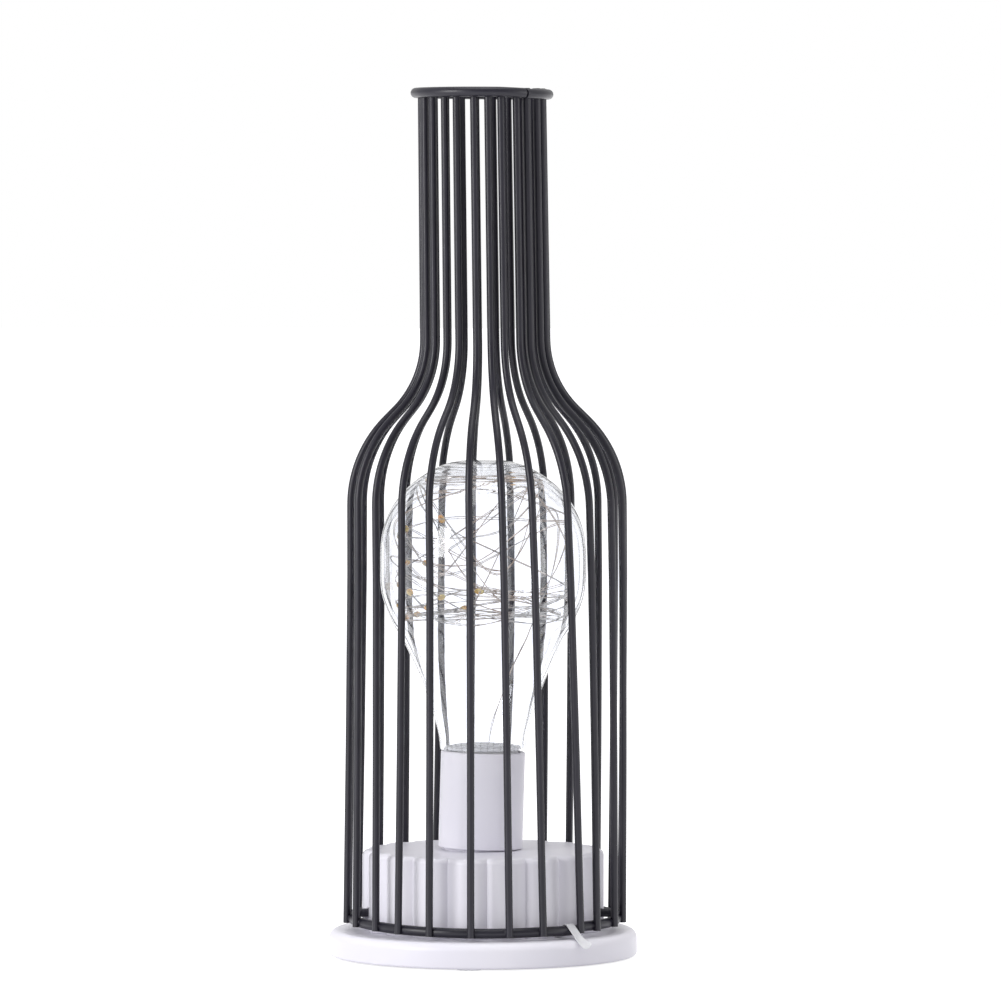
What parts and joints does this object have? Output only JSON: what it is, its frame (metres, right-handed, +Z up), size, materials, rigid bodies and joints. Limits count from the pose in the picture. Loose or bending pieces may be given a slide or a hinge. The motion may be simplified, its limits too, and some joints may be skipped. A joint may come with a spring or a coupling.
{
  "type": "wine bottle lamp",
  "caption": "Battery table lamp: a black wire cage in the shape of a wine bottle round a clear bulb of fairy lights, on a white scalloped base.",
  "frame": {"origin": "middle of the footprint, on the surface that the lamp stands on", "axes": "+Z up along the bottle's axis, -Y towards the front as pictured, +X to the right"},
  "size_m": [0.108, 0.108, 0.3044],
  "materials": {
    "black_powder_coat": "satin powder coat",
    "white_gloss_plastic": "gloss",
    "grey_plastic": "matte",
    "black_plastic": "matte",
    "clear_plastic": "clear gloss",
    "bare_wire": "bare drawn wire",
    "nickel_plate": "nickel plate",
    "zinc_plate": "zinc plate",
    "cell_jacket": "plain sleeve",
    "red_insulation": "satin",
    "black_insulation": "satin",
    "soft_pad": "matte",
    "tab_film": "translucent film"
  },
  "bodies": {
    "lamp": {"cage_top_ring": "black_powder_coat", "cage_bottom_ring": "black_powder_coat", "cage_pin_left": "black_powder_coat", "cage_pin_right": "black_powder_coat", "cage_wire_01": "black_powder_coat", "cage_wire_02": "black_powder_coat", "cage_wire_03": "black_powder_coat", "cage_wire_04": "black_powder_coat", "cage_wire_05": "black_powder_coat", "cage_wire_06": "black_powder_coat", "cage_wire_07": "black_powder_coat", "cage_wire_08": "black_powder_coat", "cage_wire_09": "black_powder_coat", "cage_wire_10": "black_powder_coat", "cage_wire_11": "black_powder_coat", "cage_wire_12": "black_powder_coat", "cage_wire_13": "black_powder_coat", "cage_wire_14": "black_powder_coat", "cage_wire_15": "black_powder_coat", "cage_wire_16": "black_powder_coat", "cage_wire_17": "black_powder_coat", "cage_wire_18": "black_powder_coat", "cage_wire_19": "black_powder_coat", "cage_wire_20": "black_powder_coat", "cage_wire_21": "black_powder_coat", "cage_wire_22": "black_powder_coat", "cage_wire_23": "black_powder_coat", "cage_wire_24": "black_powder_coat", "base_plate": "white_gloss_plastic", "drum_cover": "white_gloss_plastic", "lamp_holder": "white_gloss_plastic", "bulb_shell": "clear_plastic", "bulb_plug": "grey_plastic", "fairy_light_wire": "bare_wire", "pull_tab": "tab_film", "battery_tray": "grey_plastic", "battery_cell_1": "cell_jacket", "battery_cell_2": "cell_jacket", "battery_cell_3": "cell_jacket", "contact_positive": "nickel_plate", "contact_negative": "nickel_plate", "contact_bridge_outer": "nickel_plate", "contact_bridge_inner": "nickel_plate", "drum_screw_1": "zinc_plate", "drum_screw_2": "zinc_plate", "switch_body": "black_plastic", "lead_switch": "red_insulation", "lead_bulb_positive": "red_insulation", "lead_bulb_negative": "black_insulation", "foot_pad_1": "soft_pad", "foot_pad_2": "soft_pad", "foot_pad_3": "soft_pad", "foot_pad_4": "soft_pad"},
    "battery_cover": {"battery_cover": "white_gloss_plastic", "cover_screw_1": "zinc_plate", "cover_screw_2": "zinc_plate"},
    "switch_knob": {"switch_knob": "black_plastic"}
  },
  "joints": [
    {"name": "power_switch_slide", "type": "slide", "parent": "lamp", "child": "switch_knob", "axis": [0.6334, -0.7738, 0], "range_m": [0, 0.003]},
    {"name": "battery_cover_lift", "type": "slide", "parent": "lamp", "child": "battery_cover", "axis": [0, 0, -1], "range_m": [0, 0.012]}
  ]
}
